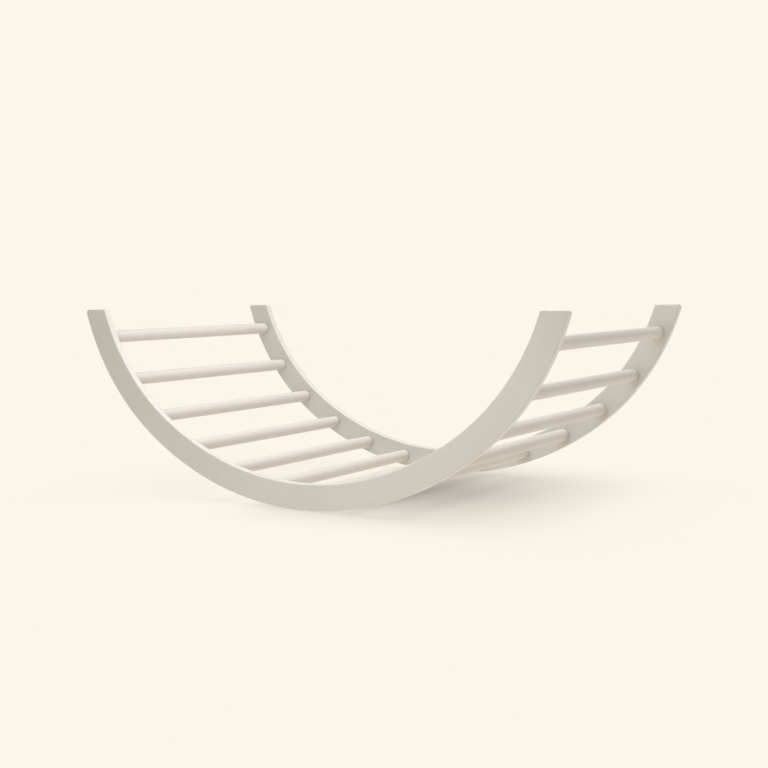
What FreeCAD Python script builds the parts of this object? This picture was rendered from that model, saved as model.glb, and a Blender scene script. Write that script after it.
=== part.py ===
import FreeCAD, Part
import math
import os
import Sketcher
from FreeCAD import Placement, Rotation, Vector

# A rocking climbing arch, resting on its curve like a cradle.  Two plywood side rails, each cut in
# one piece along an arch of three tangent arcs, are held apart by a ladder of turned rungs.  Every
# rung has a short tenon at each end, glued into a blind socket in the rail and drawn tight by a wood
# screw whose head is buried under a flush wooden plug.
#
# The origin is on the floor under the lowest point of the arch, midway between the rails.
# +X runs along the rails, +Y along the rungs and +Z up.  Lengths are in millimetres.

DIMENSIONS = (
    # alias, value, meaning
    ("overall_height", 414, "floor to the cut ends of the rails"),
    ("overall_width", 624, "over the outer faces of both rails"),
    ("bottom_radius", 678, "outer edge of the flatter, lower arc"),
    ("side_radius", 530, "outer edge of the two tighter, upper arcs"),
    ("change_angle", 36.7, "degrees from straight down to where the arcs change"),
    ("rail_width", 56, "rail, measured across the arch"),
    ("rail_thickness", 18, "plywood sheet"),
    ("edge_round", 3, "radius run round both faces of a rail"),
    ("outer_tip_round", 7, "outer corner of a rail's cut end"),
    ("inner_tip_round", 4, "inner corner of a rail's cut end"),
    ("rung_diameter", 28, "turned dowel"),
    ("rung_inset", 26, "rung line inside the rail's outer edge"),
    ("rung_pitch", 112, "from rung to rung along that line"),
    ("shoulder_round", 3.5, "eased edge where a rung meets a rail"),
    ("tenon_diameter", 20, "turned end of a rung"),
    ("tenon_length", 5.8, "part of a rung inside each rail"),
    ("socket_diameter", 20.2, "blind socket, with room for glue"),
    ("socket_depth", 6, "blind socket from the rail's inner face"),
    ("plug_diameter", 12, "wooden plug and its bore"),
    ("plug_bore_depth", 8, "bore from the rail's outer face to the screw's seat"),
    ("head_diameter", 9.5, "screw head"),
    ("head_thickness", 3.2, "screw head"),
    ("head_round", 1.2, "outer edge of the screw head"),
    ("clearance_diameter", 5.4, "screw hole in the rail"),
    ("screw_diameter", 5, "over the thread"),
    ("screw_length", 50, "under the head"),
    ("screw_point", 2, "taper at the screw's tip"),
    ("pilot_depth", 48, "screw hole in the end of a rung"),
)

RUNGS_EACH_SIDE = 6     # besides the one at the bottom of the arch
START, END, CENTRE = 1, 2, 3
ORIGIN = (-1, 1)
UPRIGHT_AXIS = -2
TOLERANCE = 1e-4

doc = FreeCAD.newDocument("rocking_climbing_arch")
sheet = doc.addObject("Spreadsheet::Sheet", "sheet")
for row, (alias, value, meaning) in enumerate(DIMENSIONS, start=1):
    sheet.set(f"A{row}", alias)
    sheet.set(f"B{row}", str(value))
    sheet.set(f"C{row}", meaning)
    sheet.setAlias(f"B{row}", alias)
doc.recompute()


def size(expression):
    """The value of an expression on the sheet's cells, as a plain number."""
    value = sheet.evalExpression(expression)
    return float(getattr(value, "Value", value))


# ---------------------------------------------------------------- where the rungs are

def station(step):
    """Expressions for a rung's place: how far from the middle of the arch, and how high.

    Rungs are evenly spaced along a line inside the rail's outer edge.  The line turns with the
    lower arc as far as the change of arcs, and with the tighter upper arc beyond it.
    """
    low_line = "(sheet.bottom_radius - sheet.rung_inset)"
    side_line = "(sheet.side_radius - sheet.rung_inset)"
    low_run = f"({low_line} * sheet.change_angle * pi / 180)"
    run = f"({step} * sheet.rung_pitch)"
    low_turn = f"(min({run}; {low_run}) / {low_line} * 180 / pi)"
    turn = f"({low_turn} + max(0; {run} - {low_run}) / {side_line} * 180 / pi)"
    along = f"{low_line} * sin({low_turn}) + {side_line} * (sin({turn}) - sin({low_turn}))"
    height = (f"sheet.bottom_radius - {low_line} * cos({low_turn})"
              f" - {side_line} * (cos({turn}) - cos({low_turn}))")
    return along, height


# ---------------------------------------------------------------- sketch and body helpers

def new_body(label):
    body = doc.addObject("PartDesign::Body", label)
    body.Label = label
    return body


def new_sketch(body, name, role, lift=None):
    """A sketch on one of the body's own origin planes, lifted off it along the plane's normal."""
    sketch = body.newObject("Sketcher::SketchObject", name)
    plane = next(item for item in body.Origin.OriginFeatures if item.Role == role)
    sketch.AttachmentSupport = [(plane, "")]
    sketch.MapMode = "FlatFace"
    if lift:
        sketch.setExpression("AttachmentOffset.Base.z", lift)
    return sketch


def bind(sketch, kind, *geometry, to):
    """Add a dimension to a sketch and tie it to the sheet."""
    index = sketch.addConstraint(Sketcher.Constraint(kind, *geometry, size(to)))
    sketch.setExpression(f"Constraints[{index}]", to)


def tie(sketch, kind, *geometry):
    sketch.addConstraint(Sketcher.Constraint(kind, *geometry))


def arc(centre_x, centre_y, radius, first, last):
    """An arc from one direction to another, both in degrees from straight down."""
    circle = Part.Circle(Vector(centre_x, centre_y, 0), Vector(0, 0, 1), radius)
    down = math.radians(270)
    return Part.ArcOfCircle(circle, down + math.radians(first), down + math.radians(last))


def add_feature(body, kind, name, profile, **bound):
    """A sketch-based feature whose sizes are tied to the sheet."""
    feature = body.newObject(f"PartDesign::{kind}", name)
    feature.Profile = profile
    for quantity, expression in bound.items():
        feature.setExpression(quantity, expression)
    return feature


def dress(body, kind, name, edges, radius):
    """A fillet or chamfer on the edges that the test picks from the body as it stands."""
    base = body.Tip
    feature = body.newObject(f"PartDesign::{kind}", name)
    feature.Base = (base, edges)
    feature.setExpression("Radius" if kind == "Fillet" else "Size", radius)
    doc.recompute()
    return feature


def edges_where(shape, test):
    return [f"Edge{i}" for i, edge in enumerate(shape.Edges, start=1) if test(edge)]


def expect_change(before, body, sign):
    """A cut must take material away (-1) and a pad must add some (+1)."""
    doc.recompute()
    change = body.Shape.Volume - before
    if change * sign <= 0:
        raise RuntimeError(f"{body.Label}: {body.Tip.Name} changed the volume by {change:.3f}")


# ---------------------------------------------------------------- side rails

def draw_rail(sketch):
    """The closed outline of a rail: three tangent arcs outside, three inside, and two level ends."""
    radius = size("sheet.bottom_radius")
    side = size("sheet.side_radius")
    width = size("sheet.rail_width")
    top = size("sheet.overall_height")
    turn = size("sheet.change_angle")
    side_x = (radius - side) * math.sin(math.radians(turn))
    side_y = radius - (radius - side) * math.cos(math.radians(turn))
    outer_end = math.degrees(math.acos((side_y - top) / side))
    inner_end = math.degrees(math.acos((side_y - top) / (side - width)))

    outer_low = sketch.addGeometry(arc(0, radius, radius, -turn, turn))
    outer_right = sketch.addGeometry(arc(side_x, side_y, side, turn, outer_end))
    outer_left = sketch.addGeometry(arc(-side_x, side_y, side, -outer_end, -turn))
    inner_low = sketch.addGeometry(arc(0, radius, radius - width, -turn, turn))
    inner_right = sketch.addGeometry(arc(side_x, side_y, side - width, turn, inner_end))
    inner_left = sketch.addGeometry(arc(-side_x, side_y, side - width, -inner_end, -turn))

    tie(sketch, "PointOnObject", outer_low, CENTRE, UPRIGHT_AXIS)
    bind(sketch, "DistanceY", *ORIGIN, outer_low, CENTRE, to="sheet.bottom_radius")
    bind(sketch, "Radius", outer_low, to="sheet.bottom_radius")
    tie(sketch, "Coincident", inner_low, CENTRE, outer_low, CENTRE)
    bind(sketch, "Radius", inner_low, to="sheet.bottom_radius - sheet.rail_width")
    for low, line in ((outer_low, "sheet.bottom_radius"),
                      (inner_low, "(sheet.bottom_radius - sheet.rail_width)")):
        tie(sketch, "Horizontal", low, START, low, END)
        bind(sketch, "DistanceX", low, START, low, END, to=f"2 * {line} * sin(sheet.change_angle)")

    # (outer arc, inner arc, which end of the low arc they meet, their lower end, their upper end)
    for outer, inner, low_end, foot, tip in ((outer_right, inner_right, END, START, END),
                                             (outer_left, inner_left, START, END, START)):
        tie(sketch, "Tangent", outer_low, low_end, outer, foot)
        bind(sketch, "Radius", outer, to="sheet.side_radius")
        bind(sketch, "DistanceY", *ORIGIN, outer, tip, to="sheet.overall_height")
        tie(sketch, "Coincident", inner, CENTRE, outer, CENTRE)
        tie(sketch, "Coincident", inner, foot, inner_low, low_end)
        ends = [sketch.getPoint(curve, tip) for curve in (outer, inner)]
        cut = sketch.addGeometry(Part.LineSegment(*ends))
        tie(sketch, "Coincident", cut, START, outer, tip)
        tie(sketch, "Coincident", cut, END, inner, tip)
        tie(sketch, "Horizontal", cut)


def draw_stations(sketch, diameter):
    """One circle at every rung's place, all of one diameter."""
    along, height = station(0)
    middle = sketch.addGeometry(Part.Circle(Vector(0, size(height), 0), Vector(0, 0, 1),
                                            size(diameter) / 2))
    bind(sketch, "Diameter", middle, to=diameter)
    tie(sketch, "PointOnObject", middle, CENTRE, UPRIGHT_AXIS)
    bind(sketch, "DistanceY", *ORIGIN, middle, CENTRE, to=height)
    for step in range(1, RUNGS_EACH_SIDE + 1):
        along, height = station(step)
        pair = []
        for side in (1, -1):
            centre = Vector(side * size(along), size(height), 0)
            circle = sketch.addGeometry(Part.Circle(centre, Vector(0, 0, 1), size(diameter) / 2))
            tie(sketch, "Equal", middle, circle)
            pair.append(circle)
        bind(sketch, "DistanceX", *ORIGIN, pair[0], CENTRE, to=along)
        bind(sketch, "DistanceY", *ORIGIN, pair[0], CENTRE, to=height)
        tie(sketch, "Symmetric", pair[0], CENTRE, pair[1], CENTRE, UPRIGHT_AXIS)


def place_at_rail(body, back):
    """Front and back parts are alike; the back ones are turned half round the upright axis."""
    turn = 180 if back else 0
    body.Placement = Placement(Vector(0, 0, 0), Rotation(Vector(0, 0, 1), turn))
    inner_face = "(sheet.overall_width / 2 - sheet.rail_thickness)"
    body.setExpression("Placement.Base.y", inner_face if back else f"-{inner_face}")


def rail(label, back):
    """A rail with its inner face on the body's own XZ plane and its outer face towards -Y."""
    body = new_body(label)
    outline = new_sketch(body, f"{label}_outline", "XZ_Plane")
    draw_rail(outline)
    board = add_feature(body, "Pad", f"{label}_board", outline, Length="sheet.rail_thickness")
    doc.recompute()

    top = size("sheet.overall_height")

    def at_tip(edge):
        ends = [vertex.Point for vertex in edge.Vertexes]
        level = all(abs(end.z - top) < TOLERANCE for end in ends)
        return level and abs(ends[0].x - ends[1].x) < TOLERANCE

    reach = max(abs(vertex.X) for vertex in board.Shape.Vertexes)
    outer_corners = edges_where(board.Shape, lambda edge: at_tip(edge)
                                and abs(abs(edge.CenterOfMass.x) - reach) < TOLERANCE)
    inner_corners = edges_where(board.Shape, lambda edge: at_tip(edge)
                                and reach - abs(edge.CenterOfMass.x) > TOLERANCE)
    if len(outer_corners) != 2 or len(inner_corners) != 2:
        raise RuntimeError(f"{label}: found {outer_corners} and {inner_corners} at the rail ends")
    dress(body, "Fillet", f"{label}_outer_corners", outer_corners, "sheet.outer_tip_round")
    inner_corners = edges_where(body.Shape, lambda edge: at_tip(edge) and len(edge.Vertexes) == 2
                                and edge.Curve.TypeId == "Part::GeomLine"
                                and abs(edge.CenterOfMass.x) < reach - size("sheet.rail_width") / 2)
    dress(body, "Fillet", f"{label}_inner_corners", inner_corners, "sheet.inner_tip_round")

    faces_y = (0, -size("sheet.rail_thickness"))
    rims = edges_where(body.Shape, lambda edge: any(
        all(abs(vertex.Y - face_y) < TOLERANCE for vertex in edge.Vertexes) for face_y in faces_y))
    dress(body, "Fillet", f"{label}_rounded_edges", rims, "sheet.edge_round")

    before = body.Shape.Volume
    circles = new_sketch(body, f"{label}_socket_circles", "XZ_Plane")
    draw_stations(circles, "sheet.socket_diameter")
    sockets = add_feature(body, "Pocket", f"{label}_sockets", circles, Length="sheet.socket_depth")
    sockets.Reversed = True
    expect_change(before, body, -1)

    before = body.Shape.Volume
    circles = new_sketch(body, f"{label}_screw_circles", "XZ_Plane", lift="sheet.rail_thickness")
    draw_stations(circles, "sheet.clearance_diameter")
    holes = add_feature(body, "Hole", f"{label}_screw_holes", circles)
    doc.recompute()
    holes.DepthType = "ThroughAll"
    holes.HoleCutType = "Counterbore"
    holes.setExpression("Diameter", "sheet.clearance_diameter")
    holes.setExpression("HoleCutDiameter", "sheet.plug_diameter")
    holes.setExpression("HoleCutDepth", "sheet.plug_bore_depth")
    expect_change(before, body, -1)
    place_at_rail(body, back)
    return body


# ---------------------------------------------------------------- rungs

def draw_turned_profile(sketch, corners):
    """A closed outline of straight lines.  Each corner is a pair of expressions; "0" is on an axis."""
    points = [Vector(size(across), size(along), 0) for across, along in corners]
    lines = [sketch.addGeometry(Part.LineSegment(point, points[(i + 1) % len(points)]))
             for i, point in enumerate(points)]
    for i, (across, along) in enumerate(corners):
        tie(sketch, "Coincident", lines[i - 1], END, lines[i], START)
        if across == "0":
            tie(sketch, "PointOnObject", lines[i], START, UPRIGHT_AXIS)
        else:
            bind(sketch, "DistanceX", *ORIGIN, lines[i], START, to=across)
        if along == "0":
            tie(sketch, "PointOnObject", lines[i], START, -1)
        else:
            bind(sketch, "DistanceY", *ORIGIN, lines[i], START, to=along)


def rung(label, side, step):
    """A turned dowel along Y, with a tenon and a screw hole at each end."""
    body = new_body(label)
    clear = "(sheet.overall_width - 2 * sheet.rail_thickness)"
    whole = f"({clear} + 2 * sheet.tenon_length)"
    bore, tenon, dowel = (f"sheet.{name} / 2" for name in
                          ("screw_diameter", "tenon_diameter", "rung_diameter"))
    profile = new_sketch(body, f"{label}_profile", "XY_Plane")
    draw_turned_profile(profile, (
        ("0", "sheet.pilot_depth"),
        (bore, "sheet.pilot_depth"),
        (bore, "0"),
        (tenon, "0"),
        (tenon, "sheet.tenon_length"),
        (dowel, "sheet.tenon_length"),
        (dowel, f"{whole} - sheet.tenon_length"),
        (tenon, f"{whole} - sheet.tenon_length"),
        (tenon, whole),
        (bore, whole),
        (bore, f"{whole} - sheet.pilot_depth"),
        ("0", f"{whole} - sheet.pilot_depth"),
    ))
    turning = body.newObject("PartDesign::Revolution", f"{label}_turning")
    turning.Profile = profile
    turning.ReferenceAxis = (profile, ["V_Axis"])
    turning.Angle = 360
    doc.recompute()
    radius = size(dowel)
    shoulders = edges_where(body.Shape, lambda edge: edge.Curve.TypeId == "Part::GeomCircle"
                            and abs(edge.Curve.Radius - radius) < TOLERANCE)
    dress(body, "Fillet", f"{label}_shoulders", shoulders, "sheet.shoulder_round")
    along, height = station(step)
    body.setExpression("Placement.Base.x", f"{side} * ({along})")
    body.setExpression("Placement.Base.y", f"-{whole} / 2")
    body.setExpression("Placement.Base.z", height)
    return body


# ---------------------------------------------------------------- screws and plugs

def screws(label, back):
    """One pan-head wood screw at every rung, as separate solids, in the rail's own frame."""
    body = new_body(label)
    seat = "sheet.rail_thickness - sheet.plug_bore_depth"
    circles = new_sketch(body, f"{label}_heads_circles", "XZ_Plane", lift=seat)
    draw_stations(circles, "sheet.head_diameter")
    add_feature(body, "Pad", f"{label}_heads", circles, Length="sheet.head_thickness")
    doc.recompute()
    outer = -size(f"{seat} + sheet.head_thickness")
    rims = edges_where(body.Shape, lambda edge: abs(edge.CenterOfMass.y - outer) < TOLERANCE)
    dress(body, "Fillet", f"{label}_head_rounds", rims, "sheet.head_round")

    before = body.Shape.Volume
    circles = new_sketch(body, f"{label}_shank_circles", "XZ_Plane", lift=seat)
    draw_stations(circles, "sheet.screw_diameter")
    shanks = add_feature(body, "Pad", f"{label}_shanks", circles, Length="sheet.screw_length")
    shanks.Reversed = True
    expect_change(before, body, 1)
    tip = size(f"sheet.screw_length - ({seat})")
    points = edges_where(body.Shape, lambda edge: abs(edge.CenterOfMass.y - tip) < TOLERANCE)
    dress(body, "Chamfer", f"{label}_points", points, "sheet.screw_point")
    place_at_rail(body, back)
    return body


def plugs(label, back):
    """One wooden plug over every screw, flush with the rail's outer face."""
    body = new_body(label)
    circles = new_sketch(body, f"{label}_circles", "XZ_Plane", lift="sheet.rail_thickness")
    draw_stations(circles, "sheet.plug_diameter")
    discs = add_feature(body, "Pad", f"{label}_discs", circles,
                        Length="sheet.plug_bore_depth - sheet.head_thickness")
    discs.Reversed = True
    doc.recompute()
    place_at_rail(body, back)
    return body


# ---------------------------------------------------------------- the whole object

parts = []
for end, back in (("front", False), ("back", True)):
    parts.append(rail(f"{end}_rail", back))
    parts.append(screws(f"{end}_screws", back))
    parts.append(plugs(f"{end}_plugs", back))
for number in range(2 * RUNGS_EACH_SIDE + 1):
    step = number - RUNGS_EACH_SIDE
    parts.append(rung(f"rung_{number + 1:02d}", -1 if step < 0 else 1, abs(step)))
doc.recompute()

for item in doc.Objects:
    if "Invalid" in item.State or "Error" in item.State:
        raise RuntimeError(f"{item.Label} did not build: {item.State}")
solids_in = {"screws": 2 * RUNGS_EACH_SIDE + 1, "plugs": 2 * RUNGS_EACH_SIDE + 1}
for body in parts:
    wanted = solids_in.get(body.Label.split("_")[-1], 1)
    if body.Shape.isNull() or not body.Shape.isValid() or len(body.Shape.Solids) != wanted:
        raise RuntimeError(f"{body.Label}: {len(body.Shape.Solids)} solids where {wanted} belong")

os.makedirs("parts", exist_ok=True)
for body in parts:
    body.Shape.exportStep(f"parts/{body.Label}.step")
    box = body.Shape.optimalBoundingBox()
    print(f"{body.Label:13s} x {box.XMin:8.2f} {box.XMax:8.2f}  y {box.YMin:8.2f} {box.YMax:8.2f}"
          f"  z {box.ZMin:7.2f} {box.ZMax:7.2f}  {body.Shape.Volume / 1000:9.2f} cm3")
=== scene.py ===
# %% [markdown]
# # A rocking climbing arch in painted wood
# Two arched side rails and a ladder of round rungs, lying on its back as a rocker. The engineering
# model gives every piece its size and place. Here each piece gets its final surface: rails with
# softly rounded edges, turned rungs with eased shoulders, plugs sanded nearly flush, and one warm
# off-white satin paint that lets a little of the wood show through.

# %% Load the engineering model
import math
from collections import Counter

import bmesh
import bpy
from mathutils import Matrix, Vector


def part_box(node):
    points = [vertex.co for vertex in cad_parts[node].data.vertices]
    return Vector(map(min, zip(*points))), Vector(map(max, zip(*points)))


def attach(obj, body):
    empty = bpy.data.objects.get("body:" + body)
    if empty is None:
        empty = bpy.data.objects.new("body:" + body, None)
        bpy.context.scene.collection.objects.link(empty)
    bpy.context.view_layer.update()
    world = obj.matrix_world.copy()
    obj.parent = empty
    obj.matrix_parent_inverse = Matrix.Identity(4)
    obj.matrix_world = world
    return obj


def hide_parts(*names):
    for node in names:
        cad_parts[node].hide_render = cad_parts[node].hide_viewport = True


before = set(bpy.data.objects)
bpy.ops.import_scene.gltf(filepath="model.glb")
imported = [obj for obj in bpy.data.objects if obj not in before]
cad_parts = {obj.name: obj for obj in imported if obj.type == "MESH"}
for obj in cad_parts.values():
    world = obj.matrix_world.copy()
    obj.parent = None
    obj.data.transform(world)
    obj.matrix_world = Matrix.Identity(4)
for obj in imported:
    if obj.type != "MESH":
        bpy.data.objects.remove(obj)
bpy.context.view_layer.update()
print("pieces in the engineering model:", ", ".join(sorted(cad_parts)))

# %% [markdown]
# ## Sizes
# The outline of a rail is three arcs that meet without a corner: a flatter one at the bottom and a
# tighter one up each side. Two radii, the angle where they change and the width of the board draw
# it all. The board's thickness and height and the places of the rungs are measured from the
# engineering model. The outer corner of a rail's end is rounded 0.2 mm more than there, because a
# curve made of straight facets would otherwise stand a little outside it.

# %% Driving sizes, in metres
BOTTOM_RADIUS = 0.678
SIDE_RADIUS = 0.530
CHANGE_ANGLE = math.radians(36.7)
RAIL_WIDTH = 0.056
EDGE_ROUND = 0.003
OUTER_TIP_ROUND = 0.0072
INNER_TIP_ROUND = 0.004
SHOULDER_ROUND = 0.0035

LOW_CENTRE = Vector((0, 0, BOTTOM_RADIUS))
SIDE_CENTRE = LOW_CENTRE + (BOTTOM_RADIUS - SIDE_RADIUS) * Vector(
    (math.sin(CHANGE_ANGLE), 0, -math.cos(CHANGE_ANGLE)))

rail_low, rail_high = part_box("front_rail")
outer_face = rail_low.y
inner_face = rail_high.y
thickness = inner_face - outer_face
top = rail_high.z
rung_names = sorted(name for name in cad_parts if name.startswith("rung_"))
rung_places = [sum(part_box(name), Vector()) / 2 for name in rung_names]
print(f"rail {thickness * 1000:.1f} mm thick, {top * 1000:.0f} mm high, {len(rung_places)} rungs")

# %% [markdown]
# ## Working by selection
# Most modelling steps in Blender act on whatever is selected, so a few small helpers do the
# selecting: one starts a new piece with nothing else selected, others pick faces or edges by where
# they are or which way they face.

# %% Selection helpers


def only(obj):
    """Select one object and nothing else."""
    if bpy.context.object and bpy.context.object.mode != "OBJECT":
        bpy.ops.object.mode_set(mode="OBJECT")
    bpy.ops.object.select_all(action="DESELECT")
    obj.select_set(True)
    bpy.context.view_layer.objects.active = obj


def open_for_editing(obj, kind):
    """Enter edit mode with nothing selected, ready to pick vertices, edges or faces."""
    only(obj)
    bpy.ops.object.mode_set(mode="EDIT")
    bpy.ops.mesh.select_mode(type=kind)
    bpy.ops.mesh.select_all(action="DESELECT")


def pick(obj, elements, test):
    """Select the edges or faces of the mesh in edit mode that pass a test; returns how many."""
    mesh = bmesh.from_edit_mesh(obj.data)
    mesh.normal_update()
    chosen = [element for element in getattr(mesh, elements) if test(element)]
    for element in chosen:
        element.select_set(True)
    mesh.select_flush_mode()
    bmesh.update_edit_mesh(obj.data)
    return len(chosen)


def use(obj, kind, **settings):
    """Add a modifier, set it up and apply it."""
    only(obj)
    modifier = obj.modifiers.new(kind.title(), kind)
    for name, value in settings.items():
        setattr(modifier, name, value)
    bpy.ops.object.modifier_apply(modifier=modifier.name)


def into_mesh(obj, name):
    """Put the object's place and turn into its mesh, so that the object sits at the origin."""
    only(obj)
    bpy.ops.object.transform_apply(location=True, rotation=True, scale=True)
    obj.name = name
    obj.data.name = name


def copy_of(obj, name, matrix):
    """A copy with a mesh of its own, moved by a matrix that goes into the mesh."""
    twin = obj.copy()
    twin.data = obj.data.copy()
    bpy.context.scene.collection.objects.link(twin)
    twin.data.transform(matrix)
    twin.name = name
    twin.data.name = name
    return twin


def open_edges(obj):
    """How many edges don't join exactly two faces; a closed piece has none."""
    uses = Counter(key for face in obj.data.polygons for key in face.edge_keys)
    return sum(1 for count in uses.values() if count != 2)


print("selection helpers ready")

# %% [markdown]
# ## The side rails
# A real rail is sawn from one sheet of plywood, its edges are run round with a router, and the ends
# are cut level. A curve object with a bevel profile could draw it, but the ends would then be square
# to the curve. Spinning a rectangle about the two centres of the arcs follows the saw's path exactly,
# and a bisect makes the level cut. Only the right half is made, and a mirror gives the left.

# %% Spin half a rail, and cut its end level
PAST_THE_END = math.radians(52)


def half_rail():
    bpy.ops.object.select_all(action="DESELECT")
    middle = Vector((0, (outer_face + inner_face) / 2, RAIL_WIDTH / 2))
    bpy.ops.mesh.primitive_plane_add(size=1, location=middle, rotation=(0, math.pi / 2, 0))
    board = bpy.context.object
    board.scale = (RAIL_WIDTH, thickness, 1)
    bpy.ops.object.transform_apply(location=True, rotation=True, scale=True)
    open_for_editing(board, "EDGE")
    bpy.ops.mesh.select_all(action="SELECT")
    bpy.ops.mesh.delete(type="ONLY_FACE")
    bpy.ops.mesh.select_all(action="SELECT")
    bpy.ops.mesh.spin(steps=64, angle=CHANGE_ANGLE, center=LOW_CENTRE, axis=(0, 1, 0))
    bpy.ops.mesh.spin(steps=72, angle=PAST_THE_END, center=SIDE_CENTRE, axis=(0, 1, 0))
    bpy.ops.mesh.select_all(action="SELECT")
    bpy.ops.mesh.remove_doubles(threshold=1e-6)
    bpy.ops.mesh.select_all(action="SELECT")
    bpy.ops.mesh.bisect(plane_co=(0, 0, top), plane_no=(0, 0, 1), use_fill=True, clear_outer=True)
    bpy.ops.mesh.select_all(action="SELECT")
    bpy.ops.mesh.normals_make_consistent(inside=False)
    bpy.ops.object.mode_set(mode="OBJECT")
    return board


board = half_rail()
reach = max(vertex.co.x for vertex in board.data.vertices)
print(f"half a rail: {len(board.data.polygons)} faces, reaching {reach * 1000:.0f} mm")

# %% [markdown]
# ### Rounding over
# A router first takes the corners off the cut end, the outer one more than the inner one, and then
# runs round both faces of the board. The bevels are made in the same order. A live Bevel modifier
# would round every sharp edge alike, so the edges are picked in edit mode instead. A bevel can't
# reach past the next ring of points, so rings that stand too close to a corner are dissolved first.

# %% Round the corners of the end, then both rims


def on_rim(edge):
    """True where one of the board's flat faces meets its curved edge."""
    if len(edge.link_faces) != 2:
        return False
    flat = sorted(abs(face.normal.y) for face in edge.link_faces)
    return flat[0] < 0.3 and flat[1] > 0.95


def crosses_near(edge, corner, distance):
    """True for an edge close to a corner that runs across the board or through its thickness."""
    first, second = (point.co.xz for point in edge.verts)
    if min(first.y, second.y) > top - 1e-5:
        return False
    run = first - second
    across = run.length < 1e-6 or abs(run.y) < abs(run.x) / 2
    return across and min((first - corner).length, (second - corner).length) < distance


def round_corner(corner_x, radius, opening):
    """Round one corner of the cut end; the opening is the angle between its two sides."""
    corner = Vector((corner_x, top))
    setback = radius / math.tan(opening / 2)
    open_for_editing(board, "EDGE")
    pick(board, "edges", lambda edge: crosses_near(edge, corner, setback + 0.0005))
    bpy.ops.mesh.dissolve_edges(use_verts=True)
    open_for_editing(board, "EDGE")
    found = pick(board, "edges", lambda edge: all((point.co.xz - corner).length < 1e-5
                                                  for point in edge.verts))
    bpy.ops.mesh.bevel(offset=setback, segments=8, profile=0.5, clamp_overlap=False)
    bpy.ops.object.mode_set(mode="OBJECT")
    print(f"rounded {found} corner of the cut end to {radius * 1000:.1f} mm")


cut_line = [vertex.co.x for vertex in board.data.vertices if vertex.co.z > top - 1e-5]
below_centre = SIDE_CENTRE.z - top
steep_outside = math.acos(below_centre / SIDE_RADIUS)
steep_inside = math.acos(below_centre / (SIDE_RADIUS - RAIL_WIDTH))
round_corner(max(cut_line), OUTER_TIP_ROUND, steep_outside)
round_corner(min(cut_line), INNER_TIP_ROUND, math.pi - steep_inside)
open_for_editing(board, "EDGE")
rims = pick(board, "edges", on_rim)
bpy.ops.mesh.bevel(offset=EDGE_ROUND, segments=5, profile=0.5, clamp_overlap=False)
bpy.ops.object.mode_set(mode="OBJECT")
print(f"rounded {rims} stretches of rim to {EDGE_ROUND * 1000:.0f} mm")

# %% [markdown]
# ### The other half
# The arch is the same on both sides, and a sawyer would turn the template over for the second half.
# A Mirror modifier does that and joins the points on the middle line, so no seam is left.

# %% Mirror the half into a whole rail
use(board, "MIRROR", use_axis=(True, False, False), use_mirror_merge=True, merge_threshold=1e-5)
open_for_editing(board, "FACE")
bpy.ops.mesh.select_all(action="SELECT")
bpy.ops.mesh.normals_make_consistent(inside=False)
bpy.ops.object.mode_set(mode="OBJECT")
print(f"whole rail: {len(board.data.polygons)} faces, {open_edges(board)} open edges")

# %% [markdown]
# ### Bores for the plugs
# Each screw is driven at the bottom of a bore, and a short wooden plug closes it. Paint bridges the
# joint but never quite hides it, so a faint ring stays. A painted ring would vanish in a low light;
# a real bore with a real plug in it catches the light as the object does. Each cutter is shaped like
# a drill with a countersink, so it breaks the sharp lip of its bore in the same cut. Thirteen of
# them are joined and taken out of the board in one Boolean.

# %% Cut the bores into the outer face
PLUG_RADIUS = 0.006
BORE_GAP = 0.00007
BORE_DEPTH = 0.0016
PLUG_SET_BACK = 0.00004
LIP = 0.0001
COUNTERSINK = 0.003


def disc_at(place, radius, low, high, sides=48):
    """A short cylinder along Y."""
    bpy.ops.object.select_all(action="DESELECT")
    middle = (place.x, (low + high) / 2, place.z)
    bpy.ops.mesh.primitive_cylinder_add(vertices=sides, radius=radius, depth=high - low,
                                        location=middle, rotation=(math.pi / 2, 0, 0))
    return bpy.context.object


def joined(pieces, name):
    only(pieces[0])
    for piece in pieces:
        piece.select_set(True)
    bpy.ops.object.join()
    into_mesh(bpy.context.object, name)
    return bpy.context.object


def drill_at(place):
    """A drill for one bore, widening at 45 degrees from just below the board's face."""
    radius = PLUG_RADIUS + BORE_GAP
    drill = disc_at(place, radius, outer_face + LIP, outer_face + BORE_DEPTH)
    open_for_editing(drill, "FACE")
    pick(drill, "faces", lambda face: len(face.verts) > 4 and face.calc_center_median().z > 0)
    bpy.ops.mesh.extrude_region_move(TRANSFORM_OT_translate={"value": (0, -COUNTERSINK, 0)})
    wider = (radius + COUNTERSINK) / radius
    bpy.ops.transform.resize(value=(wider, 1, wider), center_override=place)
    bpy.ops.object.mode_set(mode="OBJECT")
    return drill


cutters = joined([drill_at(place) for place in rung_places], "bore_cutters")
use(board, "BOOLEAN", operation="DIFFERENCE", solver="EXACT", object=cutters)
bpy.data.objects.remove(cutters)
print(f"bored rail: {len(board.data.polygons)} faces, {open_edges(board)} open edges")

# %% [markdown]
# ### Shading the board, and the second rail
# The flat faces have to shade flat right up to the rounded rims. Smoothing by angle keeps the sharp
# edges, and weighted normals let the big faces decide how the corners shade. The back rail is the
# same board turned half round, so its bores face outward too.

# %% Smooth the board and copy it for the back


def smooth(obj, degrees):
    only(obj)
    bpy.ops.object.shade_smooth_by_angle(angle=math.radians(degrees))
    use(obj, "WEIGHTED_NORMAL", keep_sharp=True, weight=100)


smooth(board, 35)
into_mesh(board, "front_rail_board")
half_turn = Matrix.Diagonal((-1, -1, 1, 1))
rails = {"front_rail": board, "back_rail": copy_of(board, "back_rail_board", half_turn)}
for node, piece in rails.items():
    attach(piece, "root")
    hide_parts(node)
print(f"two rails, {len(board.data.polygons)} faces each, {open_edges(board)} open edges")

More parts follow.
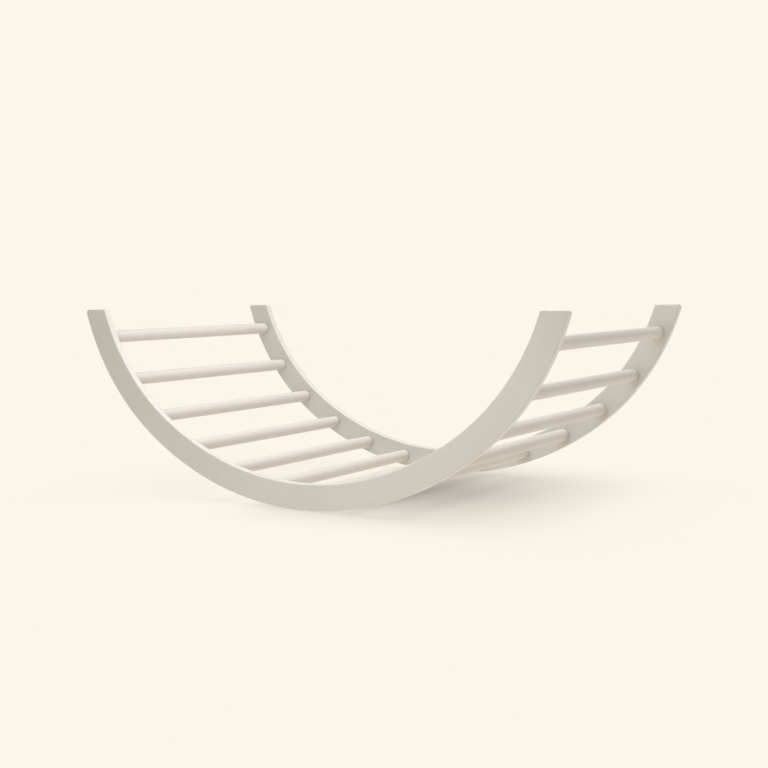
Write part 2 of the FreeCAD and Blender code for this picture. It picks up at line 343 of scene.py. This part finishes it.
# %% [markdown]
# ## The plugs
# A plug is cut across the grain, glued in and sanded flush, and it always ends a hair below the
# board once the paint has dried. One is a cylinder with its top edge broken by a bevel; the others
# are copies of it at the places where the rungs are.

# %% Make one plug, then a set for each rail
PLUG_ROUND = 0.0003
PLUG_INSET = 0.0025


def plug():
    disc = disc_at(Vector(), PLUG_RADIUS, outer_face + PLUG_SET_BACK, outer_face + BORE_DEPTH)
    open_for_editing(disc, "FACE")
    pick(disc, "faces", lambda face: len(face.verts) > 4 and face.calc_center_median().z > 0)
    bpy.ops.mesh.inset(thickness=PLUG_INSET)
    open_for_editing(disc, "EDGE")
    pick(disc, "edges", lambda edge: all(vertex.co.z > 0 for vertex in edge.verts)
         and all(vertex.co.to_2d().length > PLUG_RADIUS * 0.98 for vertex in edge.verts))
    bpy.ops.mesh.bevel(offset=PLUG_ROUND, segments=3, profile=0.5)
    bpy.ops.object.mode_set(mode="OBJECT")
    smooth(disc, 40)
    into_mesh(disc, "plug")
    return disc


master_plug = plug()
front_plugs = joined([copy_of(master_plug, "plug_copy", Matrix.Translation((place.x, 0, place.z)))
                      for place in rung_places], "front_plug_faces")
bpy.data.objects.remove(master_plug)
back_plugs = copy_of(front_plugs, "back_plug_faces", half_turn)
for node, piece in (("front_plugs", front_plugs), ("back_plugs", back_plugs)):
    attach(piece, "root")
    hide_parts(node)
print(f"two sets of plugs, {len(front_plugs.data.polygons)} faces each")

# %% [markdown]
# ## The rungs
# A rung is turned from a beech dowel. Its shoulders are rounded, so that no sharp ring of wood can
# splinter against the rail, and the paint that gathers in the corner makes a thin bead. A cylinder
# with its ends bevelled gives the dowel; pulling each end face out and widening it gives the bead.
# It is made once, and each of the others is a copy with its own mesh.

# %% Turn one rung
BEAD_RADIUS = 0.0110
BEAD_HEIGHT = 0.0003
rung_radius = (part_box(rung_names[0])[1].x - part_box(rung_names[0])[0].x) / 2
clear_length = -2 * inner_face


def turned_rung():
    rung = disc_at(Vector(), rung_radius, -clear_length / 2 + BEAD_HEIGHT,
                   clear_length / 2 - BEAD_HEIGHT, sides=72)
    into_mesh(rung, "turned_rung")
    end = clear_length / 2 - BEAD_HEIGHT
    open_for_editing(rung, "EDGE")
    pick(rung, "edges", lambda edge: len({round(vertex.co.y, 6) for vertex in edge.verts}) == 1)
    bpy.ops.mesh.bevel(offset=SHOULDER_ROUND, segments=8, profile=0.5)
    for side in (-1, 1):
        open_for_editing(rung, "FACE")
        pick(rung, "faces", lambda face: face.normal.y * side > 0.99
             and abs(face.calc_center_median().y) > end - 1e-4)
        bpy.ops.mesh.extrude_region_move(
            TRANSFORM_OT_translate={"value": (0, side * BEAD_HEIGHT, 0)})
        spread = BEAD_RADIUS / (rung_radius - SHOULDER_ROUND)
        bpy.ops.transform.resize(value=(spread, 1, spread), center_override=(0, 0, 0))
    open_for_editing(rung, "EDGE")
    pick(rung, "edges", lambda edge: abs(edge.verts[0].co.y - edge.verts[1].co.y) > 0.1)
    bpy.ops.mesh.subdivide(number_cuts=11)
    bpy.ops.object.mode_set(mode="OBJECT")
    smooth(rung, 50)
    return rung


master_rung = turned_rung()
print(f"rung: {rung_radius * 2000:.1f} mm thick, {clear_length * 1000:.0f} mm between the rails, "
      f"{len(master_rung.data.polygons)} faces, {open_edges(master_rung)} open edges")

# %% [markdown]
# ### The ladder
# Thirteen rungs from one master. Each is turned about its own length by a different angle, so that
# its facets and its grain never line up with its neighbour's.

# %% Set thirteen rungs in their places
TURN_PER_RUNG = math.radians(137.5)
rungs = []
for number, (node, place) in enumerate(zip(rung_names, rung_places)):
    turned = Matrix.Rotation(number * TURN_PER_RUNG, 4, "Y")
    rung = copy_of(master_rung, f"turned_{node}", Matrix.Translation(place) @ turned)
    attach(rung, "root")
    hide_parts(node)
    rungs.append(rung)
bpy.data.objects.remove(master_rung)
print(f"{len(rungs)} rungs from x = {rung_places[0].x:.3f} to {rung_places[-1].x:.3f} m")

# %% [markdown]
# # The paint
# One warm off-white satin lacquer covers everything, so the finish has to tell the woods apart. On
# plywood the long grain of the face veneer still shows as faint streaks, the sawn edges show the
# plies as fine lines, and turned beech shows short grain along the rung. Each effect is a node group
# with its own inputs, built once and placed in the materials that need it. A painted picture would
# blur close up and repeat, and a formula on the object's own coordinates does neither.

# %% Node helpers


def new_group(name, inputs, outputs):
    """A shader node group with named sockets; returns the tree and its input and output nodes."""
    tree = bpy.data.node_groups.new(name, "ShaderNodeTree")
    for direction, sockets in (("INPUT", inputs), ("OUTPUT", outputs)):
        for label, kind, value in sockets:
            socket = tree.interface.new_socket(label, in_out=direction, socket_type=f"NodeSocket{kind}")
            if value is not None:
                socket.default_value = value
    return tree, tree.nodes.new("NodeGroupInput"), tree.nodes.new("NodeGroupOutput")


def feed(tree, node, sockets):
    """Give each socket a number, a colour, or another node's output to read."""
    for name, value in sockets.items():
        if isinstance(value, bpy.types.NodeSocket):
            tree.links.new(value, node.inputs[name])
        else:
            node.inputs[name].default_value = value
    return node


def put(tree, kind, sockets=None, **settings):
    """Add a node, set it up and feed its sockets."""
    node = tree.nodes.new(f"ShaderNode{kind}")
    for name, value in settings.items():
        setattr(node, name, value)
    return feed(tree, node, sockets or {})


def sums(tree, operation, *values, clamp=False):
    """A Math node on one to three numbers or outputs; returns its result."""
    return put(tree, "Math", dict(enumerate(values)), operation=operation, use_clamp=clamp).outputs[0]


def placed(tree, group, sockets):
    """Use a node group in a material, with its own values."""
    return put(tree, "Group", sockets, node_tree=group)


print("node helpers ready")

# %% [markdown]
# ## Grain under the paint
# Grain is long one way and fine across, so plain noise is stretched before it is read: the Stretch
# input says how many waves there are in a metre along each axis. A second, finer layer is cut to
# short dark pores. Only a height comes out, because paint hides the colour of the wood and leaves
# the relief.

# %% Build the grain group


def grain_group():
    tree, given, result = new_group("grain_under_paint",
                                    [("Vector", "Vector", None), ("Stretch", "Vector", (10, 600, 600))],
                                    [("Height", "Float", None)])
    stretched = put(tree, "VectorMath", {0: given.outputs["Vector"], 1: given.outputs["Stretch"]},
                    operation="MULTIPLY").outputs[0]
    fibres = put(tree, "TexNoise", {"Vector": stretched, "Scale": 1.0, "Detail": 4.0,
                                    "Roughness": 0.62, "Distortion": 0.4})
    fine = put(tree, "VectorMath", {0: stretched, "Scale": 3.1}, operation="SCALE").outputs[0]
    pores = put(tree, "TexNoise", {"Vector": fine, "Scale": 1.0, "Detail": 1.0})
    pits = put(tree, "MapRange", {"Value": pores.outputs["Fac"], "From Min": 0.30, "From Max": 0.42,
                                  "To Min": -0.5, "To Max": 0.0}, interpolation_type="SMOOTHSTEP")
    height = sums(tree, "ADD", fibres.outputs["Fac"], pits.outputs["Result"])
    tree.links.new(height, result.inputs["Height"])
    return tree


GRAIN = grain_group()
print("grain group:", len(GRAIN.nodes), "nodes")

# %% [markdown]
# ## The skin of the paint
# Sprayed lacquer dries with a very shallow orange peel about a millimetre across, and a few specks
# of dust set in it. Fine noise makes the peel. The specks are the middles of sparse Voronoi cells.

# %% Build the lacquer skin group


def skin_group():
    tree, given, result = new_group("lacquer_skin",
                                    [("Vector", "Vector", None), ("Waves", "Float", 750.0),
                                     ("Specks", "Float", 0.6)],
                                    [("Height", "Float", None)])
    peel = put(tree, "TexNoise", {"Vector": given.outputs["Vector"], "Scale": given.outputs["Waves"],
                                  "Detail": 2.0, "Roughness": 0.5})
    cells = put(tree, "TexVoronoi", {"Vector": given.outputs["Vector"], "Scale": 95.0,
                                     "Randomness": 1.0})
    speck = put(tree, "MapRange", {"Value": cells.outputs["Distance"], "From Min": 0.0,
                                   "From Max": 0.045, "To Min": 1.0, "To Max": 0.0},
                interpolation_type="SMOOTHSTEP")
    rare = sums(tree, "GREATER_THAN", put(tree, "SeparateColor", {
        "Color": cells.outputs["Color"]}).outputs["Red"], 0.86)
    specks = sums(tree, "MULTIPLY", sums(tree, "MULTIPLY", speck.outputs["Result"], rare),
                  given.outputs["Specks"])
    tree.links.new(sums(tree, "ADD", peel.outputs["Fac"], specks), result.inputs["Height"])
    return tree


SKIN = skin_group()
print("lacquer skin group:", len(SKIN.nodes), "nodes")

# %% [markdown]
# ## Where a rail's edges are
# Paint is thinnest on an edge and hands rub it first, so the shading needs to know how far a point
# is from the nearest edge. On a rail that distance is exact: the outline is arcs, so it is a radius
# minus the distance from an arc's centre. Both halves are alike, so the group works on the distance
# out from the middle.

# %% Build the rail edge group


def rail_edge_group():
    tree, given, result = new_group("distance_from_rail_edge",
                                    [("Vector", "Vector", None), ("Bottom Radius", "Float", 0.7),
                                     ("Side Radius", "Float", 0.5), ("Change Angle", "Float", 0.6),
                                     ("Width", "Float", 0.05), ("Top", "Float", 0.4)],
                                    [("Distance", "Float", None)])
    apart = put(tree, "SeparateXYZ", {0: given.outputs["Vector"]})
    out = sums(tree, "ABSOLUTE", apart.outputs["X"])
    below = sums(tree, "SUBTRACT", given.outputs["Bottom Radius"], apart.outputs["Z"])
    turn = sums(tree, "ARCTAN2", out, below)
    on_side = sums(tree, "GREATER_THAN", turn, given.outputs["Change Angle"])
    gap = sums(tree, "MULTIPLY", on_side, sums(
        tree, "SUBTRACT", given.outputs["Bottom Radius"], given.outputs["Side Radius"]))
    centre_x = sums(tree, "MULTIPLY", gap, sums(tree, "SINE", given.outputs["Change Angle"]))
    centre_drop = sums(tree, "MULTIPLY", gap, sums(tree, "COSINE", given.outputs["Change Angle"]))
    side_x = sums(tree, "SUBTRACT", out, centre_x)
    side_z = sums(tree, "SUBTRACT", below, centre_drop)
    reach = put(tree, "CombineXYZ", {"X": side_x, "Y": side_z})
    radius = put(tree, "VectorMath", {0: reach.outputs[0]}, operation="LENGTH").outputs["Value"]
    from_outer = sums(tree, "SUBTRACT", sums(
        tree, "SUBTRACT", given.outputs["Bottom Radius"], gap), radius)
    from_inner = sums(tree, "SUBTRACT", given.outputs["Width"], from_outer)
    from_top = sums(tree, "SUBTRACT", given.outputs["Top"], apart.outputs["Z"])
    nearest = sums(tree, "MINIMUM", sums(tree, "MINIMUM", from_outer, from_inner), from_top)
    tree.links.new(nearest, result.inputs["Distance"])
    return tree


RAIL_EDGE = rail_edge_group()
print("rail edge group:", len(RAIL_EDGE.nodes), "nodes")

# %% [markdown]
# ## Handling
# Near an edge the paint is rubbed a little smoother and lighter. The mask fades over a few
# millimetres and is broken up by noise, because hands and floors never rub evenly.

# %% Build the handling group


def handling_group():
    tree, given, result = new_group("rubbed_near_edges",
                                    [("Vector", "Vector", None), ("Distance", "Float", 0.0),
                                     ("Reach", "Float", 0.004)],
                                    [("Mask", "Float", None)])
    near = put(tree, "MapRange", {"Value": given.outputs["Distance"], "From Min": 0.0,
                                  "From Max": given.outputs["Reach"], "To Min": 1.0, "To Max": 0.0},
               interpolation_type="SMOOTHERSTEP")
    patches = put(tree, "TexNoise", {"Vector": given.outputs["Vector"], "Scale": 28.0,
                                     "Detail": 5.0, "Roughness": 0.65})
    broken = put(tree, "MapRange", {"Value": patches.outputs["Fac"], "From Min": 0.38,
                                    "From Max": 0.66}, interpolation_type="SMOOTHSTEP")
    mask = sums(tree, "MULTIPLY", near.outputs["Result"], broken.outputs["Result"], clamp=True)
    tree.links.new(mask, result.inputs["Mask"])
    return tree


HANDLING = handling_group()
print("handling group:", len(HANDLING.nodes), "nodes")

# %% [markdown]
# ## Tone
# No coat is one even colour. Two close tones drift into each other over a hand's width, a finer
# mottle follows where the coat lies thicker, and the rubbed edges go a little lighter.

# %% Build the tone group


def blend(tree, factor, first, second):
    """Mix two colours. A Mix node keeps its colour sockets at 6 and 7, and its result at 2."""
    return put(tree, "Mix", {0: factor, 6: first, 7: second}, data_type="RGBA").outputs[2]


def tone_group():
    tree, given, result = new_group("drift_of_tone",
                                    [("Vector", "Vector", None), ("Full", "Color", (1, 1, 1, 1)),
                                     ("Thin", "Color", (1, 1, 1, 1)), ("Rubbed", "Color", (1, 1, 1, 1)),
                                     ("Rub", "Float", 0.0)],
                                    [("Color", "Color", None), ("Roughness", "Float", None)])
    broad = put(tree, "TexNoise", {"Vector": given.outputs["Vector"], "Scale": 6.0, "Detail": 3.0,
                                   "Roughness": 0.55})
    mottle = put(tree, "TexNoise", {"Vector": given.outputs["Vector"], "Scale": 160.0,
                                    "Detail": 3.0, "Roughness": 0.6})
    drift = sums(tree, "MULTIPLY_ADD", mottle.outputs["Fac"], 0.35, sums(
        tree, "MULTIPLY", broad.outputs["Fac"], 0.65))
    amount = put(tree, "MapRange", {"Value": drift, "From Min": 0.36, "From Max": 0.64},
                 interpolation_type="SMOOTHSTEP").outputs["Result"]
    coat = blend(tree, amount, given.outputs["Full"], given.outputs["Thin"])
    colour = blend(tree, given.outputs["Rub"], coat, given.outputs["Rubbed"])
    tree.links.new(colour, result.inputs["Color"])
    even = put(tree, "MapRange", {"Value": drift, "From Min": 0.3, "From Max": 0.7,
                                  "To Min": 0.37, "To Max": 0.47}).outputs["Result"]
    rubbed = sums(tree, "MULTIPLY_ADD", given.outputs["Rub"], -0.09, even)
    tree.links.new(rubbed, result.inputs["Roughness"])
    return tree


TONE = tone_group()
print("tone group:", len(TONE.nodes), "nodes")

# %% [markdown]
# ## The materials
# Every painted material reads its own position, so a pattern stays in the wood however the arch is
# turned. Each has three colours: the full coat, the same coat where it lies thinner, and a lighter one
# where it is rubbed, which on the rails' sawn edges is also a painted highlight. The rails are set a
# shade greyer than the rungs. Heights are added up and given to one Bump node, whose distance is the
# real depth of the relief: a few hundredths of a millimetre.

# %% Paint colours and the shared start of every painted material
# On the rails the Rubbed colour is also the painted highlight of the sawn edges.
RAIL_COATS = {"Full": (0.638, 0.619, 0.565, 1), "Thin": (0.618, 0.601, 0.542, 1),
              "Rubbed": (0.722, 0.684, 0.634, 1)}
RUNG_COATS = {"Full": (0.662, 0.620, 0.570, 1), "Thin": (0.643, 0.603, 0.548, 1),
              "Rubbed": (0.700, 0.660, 0.612, 1)}
LACQUER_IOR = 1.48
SKIN_SHARE = 0.5


def painted(name):
    """A material with its shader, and the position that its patterns read."""
    material = bpy.data.materials.new(name)
    material.use_nodes = True
    tree = material.node_tree
    shader = tree.nodes["Principled BSDF"]
    shader.inputs["IOR"].default_value = LACQUER_IOR
    position = tree.nodes.new("ShaderNodeTexCoord").outputs["Object"]
    return material, tree, shader, position


def coat_over(tree, shader, position, coats, rub, relief, depth):
    """Join tone, roughness and relief to the shader."""
    tone = placed(tree, TONE, {"Vector": position, "Rub": rub, **coats})
    tree.links.new(tone.outputs["Color"], shader.inputs["Base Color"])
    tree.links.new(tone.outputs["Roughness"], shader.inputs["Roughness"])
    bump = put(tree, "Bump", {"Strength": 1.0, "Distance": depth, "Height": relief})
    tree.links.new(bump.outputs["Normal"], shader.inputs["Normal"])


def paint_all(pieces, material):
    """Give pieces one material and take any other away."""
    for piece in pieces:
        piece.data.materials.clear()
        piece.data.materials.append(material)


print("paint colours ready")

# %% [markdown]
# The plies only show on the sawn edges, so the lines are multiplied by how far the surface turns
# away from the board's face. A thirteen-ply board of this thickness has a veneer every 1.4 mm, and
# as neighbouring plies cross each other, a line is drawn at every second one. The same mask paints
# the sawn edges the whitest of all, a painted highlight for the light that the rims catch.

# %% Rail paint
PLIES = 13
SAWN_EDGE_HIGHLIGHT = 0.85
PLY_RELIEF = 0.55
FACE_GRAIN = (14, 650, 420)
FACE_GRAIN_SHARE = 0.7
RAIL_RELIEF = 0.00003
ply = thickness / PLIES


def rail_paint():
    material, tree, shader, position = painted("rail_paint")
    edge = placed(tree, RAIL_EDGE, {"Vector": position, "Bottom Radius": BOTTOM_RADIUS,
                                    "Side Radius": SIDE_RADIUS, "Change Angle": CHANGE_ANGLE,
                                    "Width": RAIL_WIDTH, "Top": top})
    rub = placed(tree, HANDLING, {"Vector": position, "Distance": edge.outputs["Distance"]})
    grain = placed(tree, GRAIN, {"Vector": position, "Stretch": FACE_GRAIN})
    skin = placed(tree, SKIN, {"Vector": position})
    across = put(tree, "SeparateXYZ", {0: position}).outputs["Y"]
    from_face = sums(tree, "ADD", sums(tree, "MULTIPLY", sums(tree, "ABSOLUTE", across), -1),
                     -outer_face)
    lines = sums(tree, "PINGPONG", from_face, ply)
    veneer = put(tree, "MapRange", {"Value": lines, "From Min": 0.0, "From Max": ply * 0.35,
                                    "To Min": 0.0, "To Max": 1.0}).outputs["Result"]
    facing = put(tree, "SeparateXYZ", {0: tree.nodes.new("ShaderNodeNewGeometry").outputs["Normal"]})
    sawn = put(tree, "MapRange", {"Value": sums(tree, "ABSOLUTE", facing.outputs["Y"]),
                                  "From Min": 0.15, "From Max": 0.6, "To Min": 1.0, "To Max": 0.0},
               interpolation_type="SMOOTHSTEP").outputs["Result"]
    plies = sums(tree, "MULTIPLY", veneer, sums(tree, "MULTIPLY", sawn, PLY_RELIEF))
    wood = sums(tree, "MULTIPLY_ADD", grain.outputs["Height"], FACE_GRAIN_SHARE, plies)
    relief = sums(tree, "MULTIPLY_ADD", skin.outputs["Height"], SKIN_SHARE, wood)
    # Rubbed wear near the edges and a painted highlight on every sawn edge both take the lighter coat.
    edges = sums(tree, "MAXIMUM", rub.outputs["Mask"], sums(tree, "MULTIPLY", sawn, SAWN_EDGE_HIGHLIGHT))
    coat_over(tree, shader, position, RAIL_COATS, edges, relief, RAIL_RELIEF)
    return material


RAIL_PAINT = rail_paint()
paint_all(rails.values(), RAIL_PAINT)
print("rail paint:", len(RAIL_PAINT.node_tree.nodes), "nodes, a ply every", round(ply * 1000, 2), "mm")

# %% [markdown]
# A rung's grain runs along it, and its edges are the two shoulders, so the distance is simply what
# is left of the rung's length.

# %% Rung paint
RUNG_GRAIN = (520, 16, 520)
RUNG_GRAIN_SHARE = 0.6
RUNG_RELIEF = 0.000028
SHOULDER_REACH = 0.006


def rung_paint():
    material, tree, shader, position = painted("rung_paint")
    along = sums(tree, "ABSOLUTE", put(tree, "SeparateXYZ", {0: position}).outputs["Y"])
    to_end = sums(tree, "SUBTRACT", clear_length / 2, along)
    rub = placed(tree, HANDLING, {"Vector": position, "Distance": to_end,
                                  "Reach": SHOULDER_REACH})
    grain = placed(tree, GRAIN, {"Vector": position, "Stretch": RUNG_GRAIN})
    skin = placed(tree, SKIN, {"Vector": position, "Waves": 820.0})
    wood = sums(tree, "MULTIPLY", grain.outputs["Height"], RUNG_GRAIN_SHARE)
    relief = sums(tree, "MULTIPLY_ADD", skin.outputs["Height"], SKIN_SHARE, wood)
    coat_over(tree, shader, position, RUNG_COATS, rub.outputs["Mask"], relief, RUNG_RELIEF)
    return material


RUNG_PAINT = rung_paint()
paint_all(rungs, RUNG_PAINT)
print("rung paint:", len(RUNG_PAINT.node_tree.nodes), "nodes")

# %% [markdown]
# A plug shows end grain, which drinks paint and dries a little rougher, with no streaks.

# %% Plug paint
END_GRAIN = (1500, 300, 1500)
PLUG_RUB = 0.2


def plug_paint():
    material, tree, shader, position = painted("plug_paint")
    grain = placed(tree, GRAIN, {"Vector": position, "Stretch": END_GRAIN})
    skin = placed(tree, SKIN, {"Vector": position, "Specks": 0.2})
    relief = sums(tree, "MULTIPLY_ADD", skin.outputs["Height"], SKIN_SHARE,
                  grain.outputs["Height"])
    rub = sums(tree, "MULTIPLY", skin.outputs["Height"], PLUG_RUB)
    coat_over(tree, shader, position, RAIL_COATS, rub, relief, RAIL_RELIEF)
    return material


PLUG_PAINT = plug_paint()
paint_all((front_plugs, back_plugs), PLUG_PAINT)
print("plug paint:", len(PLUG_PAINT.node_tree.nodes), "nodes")

# %% [markdown]
# The screws stay as the engineering model has them. They are buried, but anyone who takes the arch
# apart sees bright zinc with a faint blue-grey bloom and drawn lines round the shank.

# %% Zinc-plated screws
DRAWN_LINE = 0.0009


def zinc():
    material = bpy.data.materials.new("zinc_plate")
    material.use_nodes = True
    tree = material.node_tree
    shader = tree.nodes["Principled BSDF"]
    shader.inputs["Metallic"].default_value = 1.0
    position = tree.nodes.new("ShaderNodeTexCoord").outputs["Object"]
    bloom = put(tree, "TexNoise", {"Vector": position, "Scale": 420.0, "Detail": 4.0})
    colour = blend(tree, bloom.outputs["Fac"], (0.58, 0.60, 0.63, 1), (0.74, 0.74, 0.72, 1))
    tree.links.new(colour, shader.inputs["Base Color"])
    rough = put(tree, "MapRange", {"Value": bloom.outputs["Fac"], "To Min": 0.22, "To Max": 0.42})
    tree.links.new(rough.outputs["Result"], shader.inputs["Roughness"])
    across = put(tree, "SeparateXYZ", {0: position}).outputs["Y"]
    ridges = sums(tree, "PINGPONG", across, DRAWN_LINE)
    bump = put(tree, "Bump", {"Strength": 0.6, "Distance": 0.5, "Height": ridges})
    tree.links.new(bump.outputs["Normal"], shader.inputs["Normal"])
    return material


ZINC = zinc()
paint_all([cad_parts[node] for node in ("front_screws", "back_screws")], ZINC)
print("zinc plate:", len(ZINC.node_tree.nodes), "nodes, on both sets of screws")

# %% [markdown]
# # The studio
# The arch lies on a seamless cream floor that glows a little itself, like the acrylic of a light
# table, which keeps every shadow on it faint. A floor and a backdrop of one colour only look
# seamless when the floor is lit to just that colour, so the floor's colour is worked out from the
# sky's light, and a camera ray that misses the floor sees the same cream.

# %% How strong the sky and the floor's glow are
CREAM = (0.973, 0.922, 0.823, 1)
ALL_ROUND = 0.30
OVERHEAD = 0.58
OVERHEAD_FOCUS = 6.0
GLOW_SHARE = 0.76

floor_light = ALL_ROUND + OVERHEAD
print(f"the floor gets {floor_light:.2f} and reflects {(1 - GLOW_SHARE) / floor_light:.2f} of it")

# %% [markdown]
# A ladder lets most of the light through, so on an evenly lit floor it seems to float. A studio
# grounds such an object by shading the floor softly beside the place where it touches. The shade is
# a formula on the floor's own coordinates: a rise and a long fall along the arch, times an even fall
# to both sides across it. Only the camera sees it, so the floor still throws its full light back up
# under the rungs.

# %% Build the grounding shade group and the floor


def grounding_group():
    tree, given, result = new_group("grounding_shade",
                                    [("Vector", "Vector", None), ("Start", "Float", -0.2),
                                     ("Peak", "Float", 0.0), ("End", "Float", 0.6),
                                     ("Half Width", "Float", 0.5), ("Middle", "Float", 0.0)],
                                    [("Shade", "Float", None)])
    apart = put(tree, "SeparateXYZ", {0: given.outputs["Vector"]})
    rise = put(tree, "MapRange", {"Value": apart.outputs["X"], "From Min": given.outputs["Start"],
                                  "From Max": given.outputs["Peak"]},
               interpolation_type="SMOOTHSTEP").outputs["Result"]
    fall = put(tree, "MapRange", {"Value": apart.outputs["X"], "From Min": given.outputs["Peak"],
                                  "From Max": given.outputs["End"], "To Min": 1.0, "To Max": 0.0},
               interpolation_type="SMOOTHSTEP").outputs["Result"]
    aside = sums(tree, "ABSOLUTE", sums(tree, "SUBTRACT", apart.outputs["Y"], given.outputs["Middle"]))
    across = put(tree, "MapRange", {"Value": aside, "From Min": 0.0,
                                    "From Max": given.outputs["Half Width"], "To Min": 1.0,
                                    "To Max": 0.0}, interpolation_type="SMOOTHSTEP").outputs["Result"]
    shade = sums(tree, "MULTIPLY", sums(tree, "MULTIPLY", rise, fall), across)
    tree.links.new(shade, result.inputs["Shade"])
    return tree


SHADE_DEPTH = 0.61
SHADE_COLOUR = (0.03, 0.01, 0.02, 1)
SHADE_MIDDLE = 0.035
PAPER_FIBRE = 0.005
FLOOR_SIZE = 60


def floor_paper():
    material = bpy.data.materials.new("cream_paper")
    material.use_nodes = True
    tree = material.node_tree
    shader = tree.nodes["Principled BSDF"]
    shader.inputs["Roughness"].default_value = 1.0
    shader.inputs["Specular IOR Level"].default_value = 0.0
    position = tree.nodes.new("ShaderNodeTexCoord").outputs["Object"]
    fibre = put(tree, "TexNoise", {"Vector": position, "Scale": 900.0, "Detail": 2.0})
    reflected = [channel * (1 - GLOW_SHARE) / floor_light for channel in CREAM[:3]]
    paper = blend(tree, fibre.outputs["Fac"], (*[c * (1 - PAPER_FIBRE) for c in reflected], 1),
                  (*[c * (1 + PAPER_FIBRE) for c in reflected], 1))
    ground = placed(tree, grounding_group(), {"Vector": position, "End": 0.60, "Half Width": 0.55,
                                              "Middle": SHADE_MIDDLE})
    seen = sums(tree, "MULTIPLY", tree.nodes.new("ShaderNodeLightPath").outputs["Is Camera Ray"],
                SHADE_DEPTH)
    dark = sums(tree, "MULTIPLY", ground.outputs["Shade"], seen)
    tree.links.new(blend(tree, dark, paper, SHADE_COLOUR), shader.inputs["Base Color"])
    tree.links.new(blend(tree, dark, CREAM, SHADE_COLOUR), shader.inputs["Emission Color"])
    shader.inputs["Emission Strength"].default_value = GLOW_SHARE
    material.cycles.emission_sampling = "NONE"
    return material


bpy.ops.object.select_all(action="DESELECT")
bpy.ops.mesh.primitive_plane_add(size=FLOOR_SIZE)
floor = bpy.context.object
floor.name = "studio_floor"
floor.data.materials.append(floor_paper())
print("floor laid, shaded by at most", SHADE_DEPTH)

# %% [markdown]
# The sky is a formula too: an even white with a soft rise overhead. An image of a studio would give
# reflections of windows and lamps, which a satin paint doesn't need.

# %% Build the sky


def studio_sky():
    """Even light with a soft rise overhead; cream where the camera sees it."""
    world = bpy.data.worlds.new("studio_sky")
    world.use_nodes = True
    tree = world.node_tree
    tree.nodes.clear()
    direction = tree.nodes.new("ShaderNodeTexCoord").outputs["Generated"]
    height = put(tree, "SeparateXYZ", {0: direction}).outputs["Z"]
    lift = sums(tree, "POWER", sums(tree, "MAXIMUM", height, 0.0), OVERHEAD_FOCUS)
    strength = sums(tree, "MULTIPLY_ADD", lift, OVERHEAD * (OVERHEAD_FOCUS + 2) / 2, ALL_ROUND)
    lit = put(tree, "Background", {"Color": (1, 1, 1, 1), "Strength": strength})
    seen = put(tree, "Background", {"Color": CREAM, "Strength": 1.0})
    by_camera = tree.nodes.new("ShaderNodeLightPath").outputs["Is Camera Ray"]
    chosen = put(tree, "MixShader", {0: by_camera, 1: lit.outputs[0], 2: seen.outputs[0]})
    put(tree, "OutputWorld", {"Surface": chosen.outputs[0]})
    return world


bpy.context.scene.world = studio_sky()
bpy.context.scene.view_settings.view_transform = "Standard"
print("sky lit, with", len(bpy.context.scene.world.node_tree.nodes), "nodes")

# %% [markdown]
# The arch itself is lit from close by. A round softbox hangs just above its hollow, so whatever faces
# the hollow is bright and whatever faces away from it falls off, which is what gives each rung a
# light back and a darker side. A second softbox fills in from the front, and a wide weak sun from
# behind on the right. Light linking keeps all three off the floor, which they would brighten.

# %% Lamps for the arch alone
LOOK_AT = Vector((0, 0, 0.2))
arch_pieces = bpy.data.collections.new("arch_pieces")
for piece in (*rails.values(), front_plugs, back_plugs, *rungs):
    arch_pieces.objects.link(piece)


def lamp_for_arch(name, kind, place, energy, width):
    """A lamp at a place, turned to the arch; the width is a diameter, or an angle for a sun."""
    light = bpy.data.lights.new(name, kind)
    light.energy = energy
    if kind == "SUN":
        light.angle = width
    else:
        light.shape = "DISK"
        light.size = width
    lamp = bpy.data.objects.new(name, light)
    lamp.location = place
    lamp.rotation_euler = (place - LOOK_AT).to_track_quat("Z", "Y").to_euler()
    lamp.visible_camera = False
    lamp.light_linking.receiver_collection = arch_pieces
    bpy.context.scene.collection.objects.link(lamp)
    print(f"{name}: {energy:.2f} {'W' if kind == 'AREA' else 'W/m2'}")


lamp_for_arch("softbox_above_hollow", "AREA", Vector((0.04, 0.02, 0.80)), 3.8, 1.0)
lamp_for_arch("softbox_in_front", "AREA", Vector((0.15, -0.95, 0.30)), 1.35, 0.5)
lamp_for_arch("soft_sun_right", "SUN", Vector((2.3, 1.4, 1.2)), 0.09 * math.pi, math.radians(40))

# %% [markdown]
# ## The camera
# The view is from the right of the front and a little above, with a lens somewhat longer than
# normal, which keeps the two rails in proportion. The camera is placed by the direction that it
# looks in and how far away it is, because those are what change a view.

# %% Camera
AIM = Vector((0.0071, 0.0073, 0.2397))
TURN = math.radians(31.89)
DOWN = math.radians(4.49)
TILT = math.radians(-0.59)
DISTANCE = 2.828
LENS = 58.53

forward = Vector((-math.sin(TURN) * math.cos(DOWN), math.cos(TURN) * math.cos(DOWN), -math.sin(DOWN)))
level = Vector((math.cos(TURN), math.sin(TURN), 0))
upward = level.cross(forward)
right = math.cos(TILT) * level + math.sin(TILT) * upward
above = right.cross(forward)
lens = bpy.data.cameras.new("studio_camera")
lens.lens = LENS
lens.sensor_width = 36
camera = bpy.data.objects.new("studio_camera", lens)
axes = Matrix((right, above, -forward)).transposed().to_4x4()
camera.matrix_world = Matrix.Translation(AIM - DISTANCE * forward) @ axes
bpy.context.scene.collection.objects.link(camera)
bpy.context.scene.camera = camera
print("camera at", [round(value, 3) for value in camera.location])
